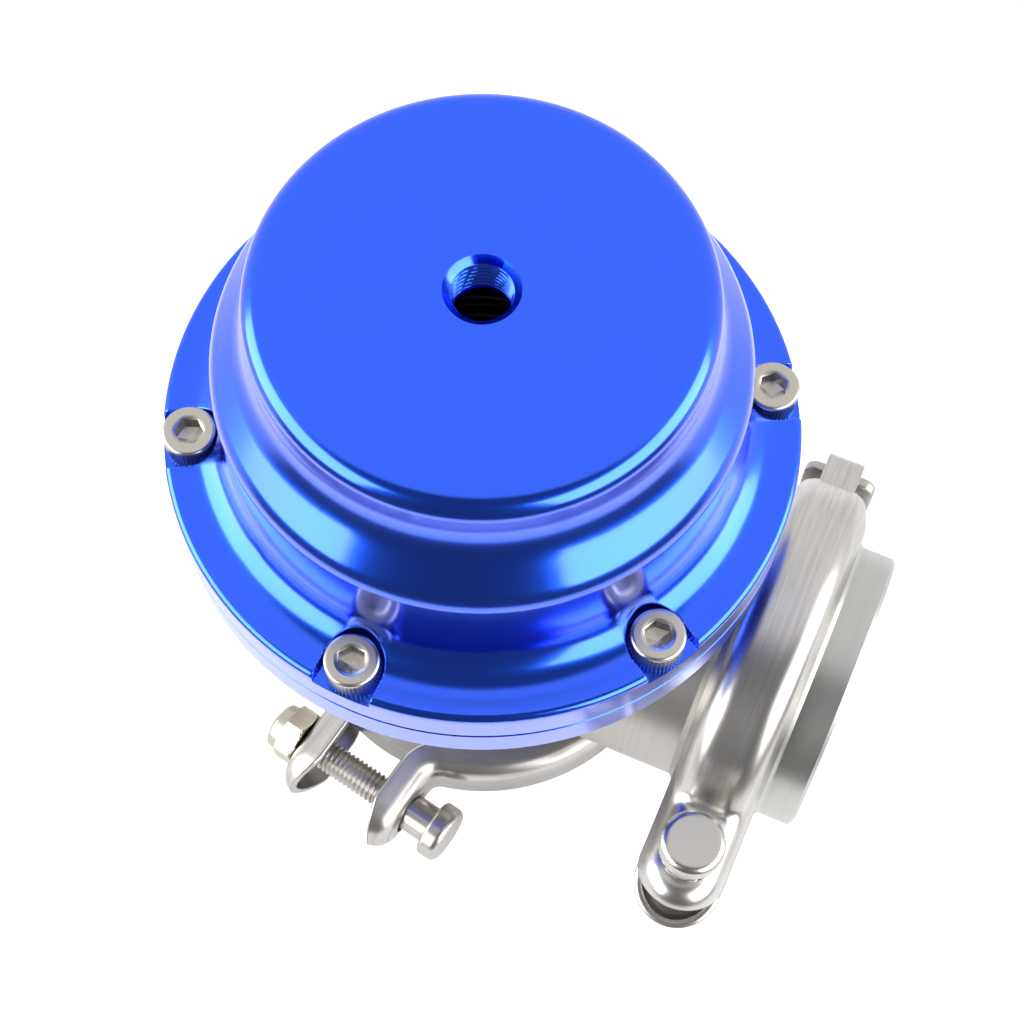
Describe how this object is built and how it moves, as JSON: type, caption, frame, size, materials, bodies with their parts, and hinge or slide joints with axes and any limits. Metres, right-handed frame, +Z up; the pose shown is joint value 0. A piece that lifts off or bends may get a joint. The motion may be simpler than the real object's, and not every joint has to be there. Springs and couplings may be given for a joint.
{
  "type": "external wastegate",
  "caption": "External exhaust wastegate: a stepped blue actuator cap over a steel poppet valve body, with clamped weld flanges on its inlet and outlet.",
  "frame": {"origin": "centre of the inlet weld flange's lower face, on the valve axis", "axes": "+Z up along the valve axis to the actuator's top port, +X along the gas outlet, +Y to the clamp hinge side of the outlet"},
  "size_m": [0.1202, 0.1032, 0.1401],
  "materials": {
    "anodised_aluminium": "bright blue anodised, machined",
    "plain_aluminium": "machined",
    "screw_steel": "plated, knurled head",
    "gasket_fibre": "pressed graphite fibre",
    "diaphragm_rubber": "fabric reinforced",
    "seal_rubber": "smooth",
    "spring_steel": "drawn wire",
    "guide_bronze": "turned",
    "valve_steel": "ground",
    "body_steel": "cast stainless steel, machined and satin",
    "flange_steel": "turned stainless steel",
    "clamp_steel": "polished stainless sheet",
    "link_steel": "tumbled stainless",
    "bolt_steel": "polished stainless",
    "nut_steel": "nickel plated"
  },
  "bodies": {
    "housing": {"top_cap": "anodised_aluminium", "actuator_base": "anodised_aluminium", "cap_screws": "screw_steel", "base_screws": "screw_steel", "port_plug": "screw_steel", "heat_gasket": "gasket_fibre", "diaphragm": "diaphragm_rubber", "stem_seal": "seal_rubber", "spring_outer": "spring_steel", "spring_inner": "spring_steel", "valve_guide": "guide_bronze", "valve_seat": "valve_steel", "valve_body": "body_steel", "outlet_branch": "body_steel", "inlet_flange": "flange_steel", "outlet_flange": "flange_steel", "inlet_clamp_nut_half": "clamp_steel", "inlet_clamp_bolt": "bolt_steel", "outlet_clamp_nut_half": "clamp_steel", "outlet_clamp_bolt": "bolt_steel"},
    "valve_set": {"valve": "valve_steel", "stem_nut": "screw_steel", "spring_cup": "plain_aluminium", "diaphragm_plate": "plain_aluminium"},
    "inlet_link": {"inlet_clamp_link": "link_steel"},
    "inlet_head_half": {"inlet_clamp_head_half": "clamp_steel"},
    "inlet_nut": {"inlet_clamp_nut": "nut_steel"},
    "outlet_link": {"outlet_clamp_link": "link_steel"},
    "outlet_head_half": {"outlet_clamp_head_half": "clamp_steel"},
    "outlet_nut": {"outlet_clamp_nut": "nut_steel"}
  },
  "joints": [
    {"name": "valve_lift", "type": "slide", "parent": "housing", "child": "valve_set", "axis": [0, 0, 1], "range_m": [0, 0.0095], "stiffness_N_per_m": 8000, "springref_m": -0.01, "deforming": ["spring_outer", "spring_inner", "diaphragm"]},
    {"name": "inlet_link_hinge", "type": "hinge", "parent": "housing", "child": "inlet_link", "pos_m": [0.00071, 0.0398, 0.0145], "axis": [0, 0, 1], "range_deg": [0, 1.35]},
    {"name": "inlet_clamp_hinge", "type": "hinge", "parent": "inlet_link", "child": "inlet_head_half", "pos_m": [0.01425, 0.03716, 0.0145], "axis": [0, 0, 1], "range_deg": [0, 1.35]},
    {"name": "inlet_nut_spin", "type": "hinge", "parent": "housing", "child": "inlet_nut", "pos_m": [-0.01685, -0.03951, 0.0145], "axis": [0.9816, -0.1908, 0], "continuous": true},
    {"name": "outlet_link_hinge", "type": "hinge", "parent": "housing", "child": "outlet_link", "pos_m": [0.0552, 0.03619, 0.03569], "axis": [-1, 0, 0], "range_deg": [0, 1.35]},
    {"name": "outlet_clamp_hinge", "type": "hinge", "parent": "outlet_link", "child": "outlet_head_half", "pos_m": [0.0552, 0.03691, 0.04947], "axis": [-1, 0, 0], "range_deg": [0, 1.35]},
    {"name": "outlet_nut_spin", "type": "hinge", "parent": "housing", "child": "outlet_nut", "pos_m": [0.0552, -0.04241, 0.03771], "axis": [0, 0.0523, 0.9986], "continuous": true}
  ]
}
